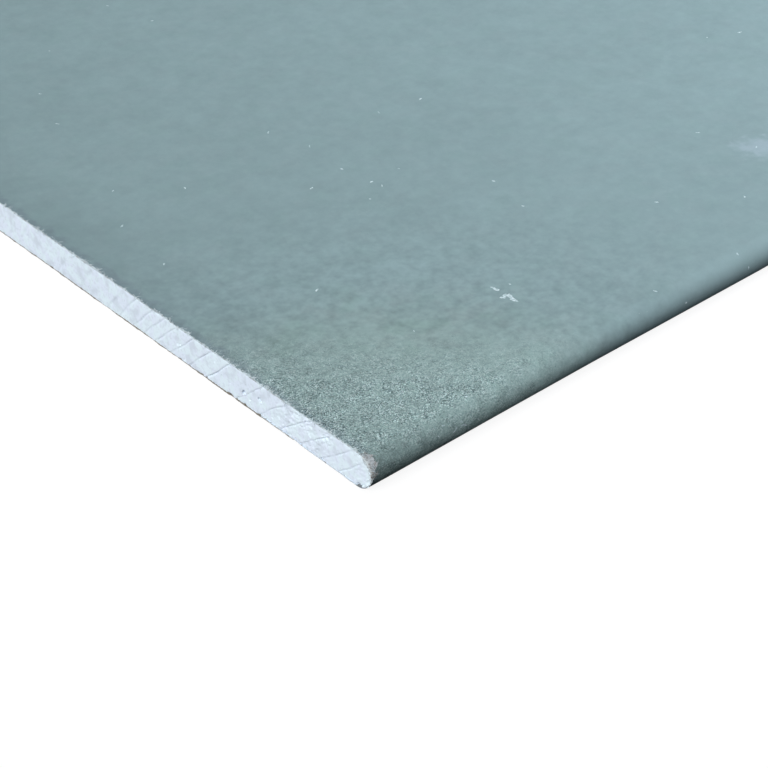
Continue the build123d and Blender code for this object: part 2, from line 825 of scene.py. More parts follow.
    def paint(self, canvas: Canvas) -> tuple[Feed, Node]:
        """Adds the nodes of the finish.

        Args:
            canvas: Where they are added.

        Returns:
            The colour and the relief.
        """
        add, mottle = canvas.add, canvas.mottle
        wear = self.wear(canvas)
        light = self.fibres.add(canvas)
        dark = self.fibres.add(canvas, 300.0)
        grain = mottle(0.42)
        fleck = mottle(0.5, 1.0, 150.0)
        tints = (
            (add("MapRange", (mottle(9.0), 0.46, 0.66, 0.0, 0.6), **SMOOTH), wear.tinted, self.warm_patch),
            (
                add("MapRange", (mottle(11.0, 2.0, 40.0), 0.48, 0.68, 0.0, 0.8), **SMOOTH),
                wear.tinted,
                self.green_patch,
            ),
            (0.7, wear.tinted, self.yellowed),
            (0.6, wear.paled, self.rubbed_ground),
            (0.7, wear.bruised, self.bruise),
            (0.33, self.smudged(canvas), self.smudge),
            (add("Math", (light, 0.50), operation="MULTIPLY"), wear.rubbed, self.light_fibre),
            (add("Math", (dark, 0.62), operation="MULTIPLY"), wear.rubbed, self.dark_fibre),
            (add("MapRange", (fleck, 0.57, 0.67, 0.0, 0.75), **SMOOTH), wear.flecked, self.light_fibre),
            (add("MapRange", (fleck, 0.40, 0.30, 0.0, 0.90), **SMOOTH), wear.flecked, self.dark_fibre),
            (self.specks(canvas, 4.5, 25.0), wear.tinted, self.dark_fibre),
            (self.specks(canvas, 7.0, 0.0), wear.rubbed, self.dark_speck),
            (self.specks(canvas, 9.0, 50.0), wear.rubbed, self.light_speck),
        )
        layers = [
            (add("Math", (shown, where), operation="MULTIPLY"), hue) for shown, where, hue in tints
        ]
        colour = canvas.layered(self.ground, layers)
        shade = self.shading(canvas, grain, wear)
        colour = add("Mix", (1.0, colour, shade), data_type="RGBA", blend_type="MULTIPLY")
        relief = add("Math", (grain, fleck), operation="ADD")
        relief = add("Math", (light, 0.6, relief), operation="MULTIPLY_ADD")
        return colour, add("Math", (relief, wear.rubbed), operation="MULTIPLY")


@dataclass(frozen=True)
class TornPly(Finish):
    """The inner plies of the liners where they are torn open: undyed recycled fibre, dusted with gypsum.

    To the eye it is a fuzzy pale grey edge. On the wraps, where the green ply has come away, it is paler
    with tan spots, and palest beside the core. Lower down on the wraps it is painted dark grey, as painted
    shade, and further in under the sheet it is whitened by dust.

    A band is in millimetres from the cut end or the long edge, or over the underside.
    """

    name: str = "torn_paper_ply"
    roughness: float = 1.0
    relief_strength: float = 0.8
    relief_depth: float = 0.08
    dusty: str = "#C2D0D6"
    bare: str = "#A0A9AC"
    frayed: str = "#C3C7CA"
    cream: str = "#D3DADC"
    tan: str = "#8B8378"
    floury: str = "#D0DAE3"
    # Painted shade: the colour of the torn edge low down on the wraps.
    painted_low_shade: str = "#83878A"
    wrap_band: tuple[float, float] = (5.5, 3.0)
    cream_band: tuple[float, float] = (1.1, 0.6)
    # Where the painted shade low on the wraps begins and is full, by height.
    painted_low_shade_band: tuple[float, float] = (5.0, 3.4)
    nose_band: tuple[float, float] = (7.0, 6.0)
    floury_band: tuple[float, float] = (2.2, 1.0)
    under_band: tuple[float, float] = (6.2, 7.2)

    def paint(self, canvas: Canvas) -> tuple[Feed, Node]:
        """Adds the nodes of the finish.

        Args:
            canvas: Where they are added.

        Returns:
            The colour and the relief.
        """
        add = canvas.add
        bared = add("MapRange", (canvas.mottle(1.0), 0.46, 0.64), **SMOOTH)
        on_wrap = add("MapRange", (canvas.from_edge, *self.wrap_band, 0.0, 0.85), **SMOOTH)
        uneven = canvas.ragged(canvas.from_end, 3.0, 1.0, 2.0, 0.0)
        ring = add("MapRange", (uneven, *self.cream_band), **SMOOTH)
        ring = add("Math", (ring, on_wrap), operation="MULTIPLY")
        # Painted shade: the torn edge is painted dark grey low down on the wraps.
        low = add("MapRange", (canvas.height, *self.painted_low_shade_band, 0.0, 0.9), **SMOOTH)
        nose = add("MapRange", (canvas.from_edge, *self.nose_band), **SMOOTH)
        painted_low_shade = add("Math", (low, nose), operation="MULTIPLY")
        lowest = add("MapRange", (canvas.height, *self.floury_band), **SMOOTH)
        inside = add("MapRange", (canvas.from_edge, *self.under_band), **SMOOTH)
        under = add("Math", (lowest, inside), operation="MULTIPLY")
        spots = add("MapRange", (canvas.mottle(0.8, 1.0, 20.0), 0.58, 0.68, 0.0, 0.6), **SMOOTH)
        where = add("Math", (on_wrap, under), operation="MAXIMUM")
        spots = add("Math", (spots, where), operation="MULTIPLY")
        spots = add("Math", (ring, -0.7, spots), operation="MULTIPLY_ADD", use_clamp=True)
        layers = (
            (bared, self.bare),
            (on_wrap, self.frayed),
            (ring, self.cream),
            (painted_low_shade, self.painted_low_shade),
            (under, self.floury),
            (spots, self.tan),
        )
        return canvas.layered(self.dusty, layers), canvas.mottle(0.3)


@dataclass(frozen=True)
class RaisedFibre(Finish):
    """Loose paper fibre that stands up out of the sheet, where it catches the light.

    To the eye it is a pale thread, a little darker in places where it is dirty or bent.
    """

    name: str
    hue: str
    shade: str
    roughness: float = 1.0
    relief_strength: float = 0.5
    relief_depth: float = 0.03

    def paint(self, canvas: Canvas) -> tuple[Feed, Node]:
        """Adds the nodes of the finish.

        Args:
            canvas: Where they are added.

        Returns:
            The colour and the relief.
        """
        dirty = canvas.add("MapRange", (canvas.mottle(0.6), 0.40, 0.62), **SMOOTH)
        return canvas.layered(self.hue, [(dirty, self.shade)]), canvas.mottle(0.2, 1.0)


@dataclass(frozen=True)
class GreyBackPaper(Finish):
    """The back liner: undyed recycled paper, pressed smooth on its outside.

    To the eye it is a dull grey-brown with light and dark fibres and soft patches.
    """

    name: str = "grey_back_paper"
    roughness: float = 0.95
    relief_strength: float = 0.5
    relief_depth: float = 0.06
    ground: str = "#A09A91"
    dark_fibre: str = "#6F675D"
    light_fibre: str = "#C9C2B5"
    fibre_share: float = 0.6
    fibres: FibrePattern = FibrePattern(spacings=(1.8, 3.0), length=1.4)

    def paint(self, canvas: Canvas) -> tuple[Feed, Node]:
        """Adds the nodes of the finish.

        Args:
            canvas: Where they are added.

        Returns:
            The colour and the relief.
        """
        add = canvas.add
        layers = [
            (add("Math", (self.fibres.add(canvas, shift), self.fibre_share), operation="MULTIPLY"), hue)
            for hue, shift in ((self.light_fibre, 0.0), (self.dark_fibre, 300.0))
        ]
        colour = canvas.layered(self.ground, layers)
        cloud = add("Math", (canvas.mottle(45.0, 3.0), 0.4, 0.8), operation="MULTIPLY_ADD")
        colour = add("Mix", (1.0, colour, cloud), data_type="RGBA", blend_type="MULTIPLY")
        return colour, canvas.mottle(0.5)


@dataclass(frozen=True)
class FoamedGypsum(Finish):
    """The core: gypsum plaster, foamed when it was cast and then cut to length.

    To the eye it is a chalky, slightly blue white, with fine grit and pin-holes where bubbles were cut
    through. The pin-holes are painted darker as painted shade, and grey-blue patches over the cut face are
    painted shade that stands for the shadows among the grit. Round the upper half of each wrap the cut has
    dragged grey paper pulp over its edge.
    """

    name: str = "foamed_gypsum"
    roughness: float = 1.0
    relief_strength: float = 0.8
    relief_depth: float = 0.06
    chalk: str = "#DDECF5"
    damp: str = "#DCE7F5"
    # Painted shade: grey-blue patches that stand for the shadows among the grit.
    grey: str = "#CBD6E2"
    # Painted shade: the colour of the pin-holes.
    hollow: str = "#A9B4C1"
    pulp: str = "#9FA8AC"
    grit_shade_band: tuple[float, float] = (3.0, 8.0)
    pulp_band: tuple[float, float] = (4.5, 5.2)
    bubble_gap: float = 1.1

    def pulped(self, canvas: Canvas) -> Node:
        """Finds where the cut dragged torn paper over the core, under the upper half of each wrap.

        Args:
            canvas: Where it is worked out.

        Returns:
            How much paper there is.
        """
        add, form = canvas.add, canvas.form
        out = add("Math", (form.wrap_radius, canvas.from_edge), operation="SUBTRACT")
        up = add("Math", (canvas.height, form.wrap_centre), operation="SUBTRACT")
        reach = add("VectorMath", (add("CombineXYZ", (out, up)),), operation="LENGTH")
        uneven = canvas.ragged(reach, 3.0, 1.5, 3.0, 240.0)
        share = add("MapRange", (uneven, *self.pulp_band, 0.0, 0.9), **SMOOTH)
        for value, low, high in ((up, 1.2, 2.4), (out, 0.8, 1.8)):
            share = add("Math", (share, add("MapRange", (value, low, high), **SMOOTH)), operation="MULTIPLY")
        return share

    def paint(self, canvas: Canvas) -> tuple[Feed, Node]:
        """Adds the nodes of the finish.

        Args:
            canvas: Where they are added.

        Returns:
            The colour and the relief.
        """
        add, mottle = canvas.add, canvas.mottle
        # Painted shade: grey-blue patches over the cut face, kept off the long edges.
        inner = add("MapRange", (canvas.from_edge, *self.grit_shade_band), **SMOOTH)
        fine = add("MapRange", (mottle(1.2, 2.0, 30.0), 0.50, 0.68, 0.0, 0.5), **SMOOTH)
        coarse = add("MapRange", (mottle(5.0, 2.0, 70.0), 0.50, 0.68, 0.0, 0.8), **SMOOTH)
        # Painted shade: the pin-holes are painted darker.
        bubble = add("TexVoronoi", {"Vector": canvas.place, "Scale": 1 / self.bubble_gap})
        pinhole = add("MapRange", (bubble, 0.17, 0.07), **SMOOTH)
        rare = add("MapRange", (mottle(2.5, 1.0), 0.52, 0.62), **SMOOTH)
        pinhole = add("Math", (pinhole, rare), operation="MULTIPLY")
        layers = (
            (add("MapRange", (mottle(4.0), 0.42, 0.60), **SMOOTH), self.damp),
            (add("Math", (fine, inner), operation="MULTIPLY"), self.grey),
            (add("Math", (coarse, inner), operation="MULTIPLY"), self.grey),
            (pinhole, self.hollow),
            (self.pulped(canvas), self.pulp),
        )
        relief = add("Math", (pinhole, -2.0, mottle(0.35, 3.0)), operation="MULTIPLY_ADD")
        return canvas.layered(self.chalk, layers), relief


@dataclass
class GypsumCore:
    """The cast core. Its cut faces have the slanting marks of the cut, bubbles and chipped edges.

    Places on a cut face are given by how far they are in from the front long edge, and by height.

    Attributes:
        form: The sheet's sizes.
        clearance: The gap between the core and its liners.
        recess: How far the cut faces lie inside the sheet's ends.
        fine_step: How far the columns of a cut face are apart where the camera is close.
        coarse_step: How far they are apart elsewhere.
        fine_turn: The angle between them round the wrap where the camera is close.
        coarse_turn: The angle between them round the other wraps.
        fine_reach: How far in from the front long edge the fine columns go.
        near_rows: How many points a column of the near cut face has.
        far_rows: How many a column of the far one has.
        middle_rows: How many there are away from the cut faces.
        middle_share: Which columns go on away from the cut faces, as one in so many.
        stations: How many rings of points the core has between its ends.
        end_gap: How far the first and last of them are from the sheet's ends.
        wrap_turn: How far round the wrap the core's outermost column is.
        mark_places: Where the first marks cross the middle of the thickness.
        mark_gap: How far the other marks are apart.
        shallow_slant: How steep the marks are near the front long edge, in degrees.
        steep_slant: How steep they are further along, in degrees.
        mark_depth: How deep the marks are.
        lip_width: How wide the lip under a mark is.
        wall_width: How wide the wall above a mark is.
        step_height: How far the part above a mark stands proud.
        crumbly: From where to where the core crumbled.
        grit_depth: How deep the grit is where it crumbled.
        chip_reach: How far the chips reach in from the upper and the lower edge.
        drawn_holes: How many bubbles are drawn over each cut face.
        near_holes: Bubbles that are listed one by one: a place, a radius, and the depth as a share of the
            radius.
        seed: The seed of everything that is drawn.
    """

    form: SheetForm
    clearance: float = 0.03
    recess: float = 0.50
    fine_step: float = 0.25
    coarse_step: float = 2.4
    fine_turn: float = math.radians(3)
    coarse_turn: float = math.radians(7)
    fine_reach: float = 194.0
    near_rows: int = 46
    far_rows: int = 24
    middle_rows: int = 3
    middle_share: int = 7
    stations: int = 60
    end_gap: float = 12.0
    wrap_turn: float = math.radians(84)
    mark_places: tuple[float, ...] = (
        -20.0, -6.0, 7.5, 15.0, 24.0, 34.0, 44.0, 55.0, 70.0, 79.0, 88.0, 96.5, 102.5, 108.5, 116.5, 123.0,
        139.0,
    )
    mark_gap: float = 9.0
    shallow_slant: float = 40.0
    steep_slant: float = 58.0
    mark_depth: float = 0.32
    lip_width: float = 0.8
    wall_width: float = 0.42
    step_height: float = 0.16
    crumbly: tuple[float, float] = (13.0, 46.0)
    grit_depth: float = 0.19
    chip_reach: float = 0.7
    drawn_holes: int = 110
    near_holes: tuple[tuple[float, float, float, float], ...] = (
        (57.6, 4.9, 0.8, 2.4),
        (58.3, 4.3, 0.5, 1.6),
        (50.5, 6.2, 0.6, 2.2),
        (49.9, 5.6, 0.5, 1.4),
        (5.9, 0.7, 0.7, 1.5),
    )
    seed: int = 5

    @property
    def radius(self) -> float:
        """Radius of the core's rounded long edges."""
        return self.form.wrap_radius - self.form.face_paper - self.clearance

    def columns(self, front_is_fine: bool) -> np.ndarray:
        """Lays out the columns of a cut face.

        Args:
            front_is_fine: Whether the columns are close together near the front long edge.

        Returns:
            The Y of each column, on a straight sheet.
        """
        form = self.form
        turns = np.arange(self.wrap_turn, 0, -(self.fine_turn if front_is_fine else self.coarse_turn))
        front = form.flat_half + self.radius * np.sin(turns)
        turns = np.arange(self.coarse_turn, self.wrap_turn, self.coarse_turn)
        back = form.flat_half + self.radius * np.sin(turns)
        fine_end = -form.half_width + self.fine_reach if front_is_fine else -form.flat_half
        fine = np.arange(-form.flat_half, fine_end, self.fine_step)
        coarse = np.arange(fine_end, form.flat_half, self.coarse_step)
        return np.concatenate([-front, fine, coarse, back])

    def section(self, columns: np.ndarray, rows: int) -> tuple[np.ndarray, np.ndarray]:
        """Fills the core's section with points.

        Args:
            columns: The Y of each column.
            rows: How many points a column has.

        Returns:
            The Y and Z of the points, a row for each column.
        """
        form = self.form
        beyond = np.clip(np.abs(columns) - form.flat_half, 0, self.radius)
        half_height = np.sqrt(self.radius**2 - beyond**2)
        top = form.wrap_centre + half_height
        margin = form.wrap_centre - half_height - form.drop(columns) * half_height / self.radius
        over_back = form.back_paper + self.clearance
        fold = smooth_step(np.abs(columns), form.fold_half - 0.4, form.fold_half - 0.1)
        bottom = over_back + (margin - over_back) * fold
        share = np.linspace(0, 1, rows)
        z = bottom[:, None] + (top - bottom)[:, None] * share[None, :]
        return np.repeat(columns[:, None], rows, 1), z

    def marks(self, rng: np.random.Generator) -> tuple[np.ndarray, np.ndarray]:
        """Lays out the slanting marks along a cut face.

        Args:
            rng: What draws the marks past the ones that are listed.

        Returns:
            Where each mark crosses the middle of the thickness, and how strong it is.
        """
        places = list(self.mark_places)
        past_the_edge = 30
        while places[-1] < 2 * self.form.half_width + past_the_edge:
            places.append(places[-1] + self.mark_gap * rng.uniform(0.65, 1.5))
        strengths = rng.uniform(0.55, 1.0, len(places))
        return np.array(places), strengths

    def cut_depth(self, inward: np.ndarray, z: np.ndarray, end: CutEnd) -> np.ndarray:
        """Works out how far a cut face lies inside the sheet's end.

        Args:
            inward: How far in from the front long edge each point is.
            z: Its height.
            end: Which end it is on.

        Returns:
            The depths.
        """
        rng = np.random.default_rng(self.seed + end.value)
        rough = Unevenness(self.seed + 10 * end.value + 20)
        waves = 0.10 * rough(inward, z, 16.0) + 0.05 * rough(inward, z, 3.0)
        depth = self.recess + waves + self.mark_relief(inward, z, rng, rough)
        depth = depth + self.crumble(inward, z, rough) + self.chips(inward, z, rough)
        return depth + self.bubbles(inward, z, end, rng)

    def crumble(self, inward: np.ndarray, z: np.ndarray, rough: Unevenness) -> np.ndarray:
        """Works out the grit of the cut, which is coarse where the core crumbled.

        Args:
            inward: How far in from the front long edge each point is.
            z: Its height.
            rough: What makes it uneven.

        Returns:
            How much deeper each point is.
        """
        lean = 1 / math.tan(math.radians(self.shallow_slant))
        over_middle = z - self.form.thickness / 2
        across_grain = (inward + lean * over_middle) / math.hypot(1, lean)
        along_grain = (over_middle - lean * inward) / math.hypot(1, lean)
        low, high = self.crumbly
        share = smooth_step(rough(inward, z / 2, 13.0), 0.45, 1.0)
        share = np.maximum(share, smooth_step(inward, low, low + 7) * smooth_step(inward, high, high - 9))
        share = np.maximum(share, smooth_step(inward, 9.0, 4.0))
        share = 0.08 + 0.92 * share * (0.25 + 0.75 * smooth_step(rough(inward, z, 4.0), -0.5, 0.4))
        grit = 0.7 * rough(across_grain / 0.6, along_grain / 1.2, 1.0) + rough(inward + 50, z, 0.55)
        return self.grit_depth * share * grit

    def chips(self, inward: np.ndarray, z: np.ndarray, rough: Unevenness) -> np.ndarray:
        """Works out the chips along the lower and the upper edge and round the wraps.

        Args:
            inward: How far in from the front long edge each point is.
            z: Its height.
            rough: What makes them uneven.

        Returns:
            How much deeper each point is.
        """
        over_bottom = z - z.min(1, keepdims=True)
        under_top = z.max(1, keepdims=True) - z
        chipped = smooth_step(rough(inward, 7.0, 1.6), 0.35, 0.9)
        lower = smooth_step(over_bottom, self.chip_reach, 0.0) * (0.05 + 0.5 * chipped)
        chipped = smooth_step(rough(inward, 31.0, 2.6), 0.35, 0.9)
        upper = smooth_step(under_top, self.chip_reach, 0.0) * (0.08 + 0.2 * chipped)
        beyond = np.abs(inward - self.form.half_width) - self.form.flat_half
        from_paper = self.form.wrap_radius - np.hypot(np.maximum(beyond, 0), z - self.form.wrap_centre)
        chipped = smooth_step(rough(inward, z, 0.8) + rough(inward, z, 2.0), -0.2, 1.0) * (beyond > 0)
        return lower + upper + 0.7 * chipped * smooth_step(from_paper, 1.5, 0.5)

    def mark_relief(
        self, inward: np.ndarray, z: np.ndarray, rng: np.random.Generator, rough: Unevenness
    ) -> np.ndarray:
        """Works out the relief that the slanting cuts leave.

        The part above each mark stands proud of the part below it, so the mark is a thin dark wall with
        a bright lip under it.

        Args:
            inward: How far in from the front long edge each point is.
            z: Its height.
            rng: What draws the marks past the ones that are listed.
            rough: What makes them uneven.

        Returns:
            How much deeper each point is.
        """
        places, strengths = self.marks(rng)
        slant = self.shallow_slant + (self.steep_slant - self.shallow_slant) * smooth_step(inward, 95, 150)
        lean = 1 / np.tan(np.radians(slant + 5 * rough(inward, 0.0, 28.0)))
        along = inward + (z - self.form.thickness / 2) * lean
        along = along + 0.35 * rough(inward, z, 5.5) + 0.15 * rough(z, inward, 1.5)
        which = np.clip(np.searchsorted(places, along) - 1, 0, len(places) - 2)
        above = along - places[which]
        below = places[which + 1] - along
        softness = 1 + 1.3 * smooth_step(inward, 80, 140)
        faded = (1 - 0.65 * smooth_step(inward, 55, 150)) * (0.6 + 0.4 * smooth_step(inward, 6, 24))
        wall_share = smooth_step(above, self.wall_width * softness, 0)
        sunk = self.step_height * (above / (places[which + 1] - places[which]) + wall_share)
        lip = smooth_step(below, self.lip_width * softness, 0) * strengths[which + 1]
        wall = wall_share * strengths[which]
        fade = np.clip(0.7 + 0.8 * rough(inward + 300, z, 4.0), 0.1, 1)
        return faded * (sunk + self.mark_depth * fade * np.maximum(lip, wall))

    def bubbles(
        self, inward: np.ndarray, z: np.ndarray, end: CutEnd, rng: np.random.Generator
    ) -> np.ndarray:
        """Hollows out the larger bubbles that the cut went through.

        Args:
            inward: How far in from the front long edge each point is.
            z: Its height.
            end: Which end it is on.
            rng: What draws them.

        Returns:
            How much deeper each point is.
        """
        width, low, high = 2 * self.form.half_width, 1.2, self.form.thickness - 1.2
        holes = [
            [rng.uniform(3, width - 3), rng.uniform(low, high), rng.uniform(0.25, 0.5), rng.uniform(0.3, 0.8)]
            for _ in range(self.drawn_holes)
        ]
        if end is CutEnd.NEAR:
            holes += self.near_holes
        hollow = np.zeros_like(z)
        columns = inward[:, 0]
        for middle, height, radius, steepness in holes:
            first, last = np.searchsorted(columns, (middle - radius, middle + radius))
            if first == last:
                continue
            patch = np.s_[first:last]
            away = ((inward[patch] - middle) ** 2 + (z[patch] - height) ** 2) / radius**2
            sunk = steepness * radius * np.sqrt(np.clip(1 - away, 0, 1))
            hollow[patch] = np.maximum(hollow[patch], sunk)
        return hollow

    def ring(self, grid: np.ndarray) -> list[int]:
        """Follows the outline of a grid of points round, back to its first.

        Args:
            grid: The numbers of the points, a row for each column of the cut face.

        Returns:
            The numbers of the points on the outline.
        """
        return [*grid[:, 0], *grid[-1, 1:], *grid[-2::-1, -1], *grid[0, -2::-1]]

    def ring_scale(self, columns: np.ndarray, rows: int) -> list[float]:
        """Says how far round the outline each point of a ring is, with 1 for each of its four sides.

        Args:
            columns: The Y of each column.
            rows: How many points a column has.

        Returns:
            The scale, in the order of the ring.
        """
        across = (columns - columns[0]) / (columns[-1] - columns[0])
        up = np.linspace(0, 1, rows)
        return [*across, *(1 + up[1:]), *(3 - across[-2::-1]), *(4 - up[-2::-1])]

    def make(self, finish: bpy.types.Material) -> bpy.types.Object:
        """Makes the core.

        Args:
            finish: Its material.

        Returns:
            The object.
        """
        form = self.form
        draft = MeshDraft()
        columns = self.columns(False)
        few_columns = np.union1d(columns[:: self.middle_share], columns[[0, -1]])
        reach = form.half_length - self.end_gap
        rings = []
        for station in np.linspace(-reach, reach, self.stations):
            y, z = self.section(few_columns, self.middle_rows)
            grid = draft.add_points(station, y + form.draw_in(station, y), z)
            rings.append(self.ring(grid))
        draft.add_grid(np.array(rings))
        for end, ring in ((CutEnd.NEAR, rings[0]), (CutEnd.FAR, rings[-1])):
            columns = self.columns(end is CutEnd.NEAR)
            rows = self.near_rows if end is CutEnd.NEAR else self.far_rows
            y, z = self.section(columns, rows)
            x = end.value * (form.half_length - self.cut_depth(y + form.half_width, z, end))
            grid = draft.add_points(x, y + form.draw_in(x, y), z)
            draft.add_grid(grid[::-1])
            scale = self.ring_scale(columns, rows)
            draft.add_seam(self.ring(grid), scale, ring, self.ring_scale(few_columns, self.middle_rows))
        piece = draft.make("cast_gypsum_core", [finish], "gypsum")
        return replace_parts(piece, "gypsum_core")


@dataclass
class PaperLiner(ABC):
    """A paper liner as a closed layer, with its real thickness and torn edges at the cut ends.

    Attributes:
        form: The sheet's sizes.
        edge_offsets: How far in from each torn edge the rows of points beside it are.
        middle_gap: How far past the last of them the rows of the middle begin.
        stations: How many rows the middle has.
        edge_recess: How far inside the sheet's end the inner surface ends.
        torn_shares: Where the points of the torn edge are, as shares of its width from the outer surface.
        torn_depths: How deep they are, as shares of the paper's thickness.
        seed: The seed of everything that is uneven.
    """

    form: SheetForm
    edge_offsets: tuple[float, ...] = (0.0, 0.3, 0.7, 1.3, 2.2, 3.4, 5.0, 7.0, 10.0)
    middle_gap: float = 4.0
    stations: int = 64
    edge_recess: float = 0.42
    torn_shares: tuple[float, ...] = (0.05, 0.28, 0.52, 0.76, 0.94)
    torn_depths: tuple[float, ...] = (0.25, 0.35, 0.42, 0.52, 0.70)
    seed: int = 40

    @abstractmethod
    def place(self, out: np.ndarray, x: np.ndarray, depth: np.ndarray) -> tuple[np.ndarray, np.ndarray]:
        """Finds the Y and Z of a place in the liner.

        Args:
            out: Where across the liner it is.
            x: Where along the sheet it is.
            depth: How far under the liner's outer surface it is.

        Returns:
            Its Y and Z.
        """

    @abstractmethod
    def spread(self, end: CutEnd | None) -> np.ndarray:
        """Lays points out across the liner.

        Args:
            end: The cut end that they are at, or None away from both.

        Returns:
            Where across the liner they are.
        """

    @abstractmethod
    def tear(self, out: np.ndarray, end: CutEnd) -> np.ndarray:
        """Says how much further back the outer surface ends than the inner one.

        Args:
            out: Where across the liner it is read.
            end: Which cut end.

        Returns:
            The distances.
        """

    @property
    @abstractmethod
    def thickness(self) -> float:
        """Thickness of the paper."""

    def crush(self, out: np.ndarray, offset: np.ndarray, end: CutEnd) -> np.ndarray:
        """Says how far the outer surface is pressed down beside the cut.

        Args:
            out: Where across the liner it is read.
            offset: How far in from the cut.
            end: Which cut end.

        Returns:
            The depths.
        """
        rough = Unevenness(self.seed + 3 + end.value)
        pressed = 0.09 + 0.06 * rough(out, offset, 2.2) + 0.04 * rough(out, offset, 0.8)
        return np.clip(pressed, 0, 0.5) * np.exp(-np.asarray(offset) / 1.6)

    def edge_line(self, out: np.ndarray, end: CutEnd) -> np.ndarray:
        """Says how far inside the sheet's end the inner surface of the liner ends.

        Args:
            out: Where across the liner it is read.
            end: Which cut end.

        Returns:
            The distances.
        """
        rough = Unevenness(self.seed + end.value)
        return self.edge_recess + 0.10 * rough(out, 0.0, 11.0) + 0.08 * rough(out, 9.0, 1.7)

    def end_grids(
        self, draft: MeshDraft, end: CutEnd, finish_slot: int
    ) -> tuple[np.ndarray, np.ndarray, np.ndarray, list[list[int]]]:
        """Adds the outer and inner surfaces beside one cut end, and the torn edge between them.

        Args:
            draft: What they are added to.
            end: Which cut end.
            finish_slot: The finish of the torn edge.

        Returns:
            Where across the liner the points are, the numbers of the outer and of the inner points, and
            the numbers down each side of the torn edge.
        """
        form = self.form
        out = self.spread(end)
        offsets = np.array(self.edge_offsets)
        fade = 1 - offsets / offsets[-1]
        inner_edge = self.edge_line(out, end)
        outer_edge = inner_edge + self.tear(out, end)
        grids = []
        for edge, depth in ((outer_edge, form.skin), (inner_edge, self.thickness)):
            inside = offsets[None, :] + edge[:, None] * fade[None, :]
            x = end.value * (form.half_length - inside)
            pressed = self.crush(out[:, None], offsets[None, :], end) if depth < self.thickness else 0.0
            y, z = self.place(out[:, None], x, depth + pressed)
            grids.append(draft.add_points(x, y, z))
        rough = Unevenness(self.seed + 7 + end.value)
        rows = [grids[0][:, 0]]
        width = np.clip(outer_edge - inner_edge, 0.02, None)
        for share, depth_share in zip(self.torn_shares, self.torn_depths, strict=True):
            inside = outer_edge - width * share + np.minimum(0.05, 0.15 * width) * rough(out, share * 40, 0.7)
            depth_share = depth_share + np.clip(0.15 * width, 0, 0.18) * rough(out, share * 70, 0.9)
            top = form.skin + self.crush(out, np.zeros_like(out), end)
            x = end.value * (form.half_length - inside)
            y, z = self.place(out, x, top + (self.thickness - top) * depth_share)
            rows.append(draft.add_points(x, y, z))
        rows.append(grids[1][:, 0])
        draft.add_grid(np.array(rows), finish_slot)
        ends = [[int(row[i]) for row in rows] for i in (0, -1)]
        return out, grids[0], grids[1], ends

    def make_layer(self, name: str, finishes: Sequence[bpy.types.Material], slot: str) -> bpy.types.Object:
        """Makes the liner. Its outer surface has the first finish and its torn edges the second.

        Args:
            name: The piece's name.
            finishes: The two materials.
            slot: The record's material slot.

        Returns:
            The object.
        """
        form = self.form
        draft = MeshDraft()
        near_out, near_outer, near_inner, near_sides = self.end_grids(draft, CutEnd.NEAR, 1)
        far_out, far_outer, far_inner, far_sides = self.end_grids(draft, CutEnd.FAR, 1)
        out = self.spread(None)
        reach = form.half_length - self.edge_offsets[-1] - self.middle_gap
        x = np.linspace(-reach, reach, self.stations)[None, :]
        layers = []
        for near, far, depth in ((near_outer, far_outer, form.skin), (near_inner, far_inner, self.thickness)):
            y, z = self.place(out[:, None], x, depth)
            middle = draft.add_points(x, y, z)
            side = int(depth == self.thickness)
            draft.add_grid(near, side)
            draft.add_grid(middle, side)
            draft.add_grid(far, side)
            draft.add_seam(near[:, -1], near_out, middle[:, 0], out, side)
            draft.add_seam(far[:, -1], far_out, middle[:, -1], out, side)
            layers.append([[*near[i], *middle[i], *far[i][::-1]] for i in (0, -1)])
        for side in (0, 1):
            draft.add_grid(np.array([layers[0][side], layers[1][side]]), 1)
            draft.add_faces([near_sides[side], far_sides[side]], 1)
        return draft.make(name, finishes, slot)


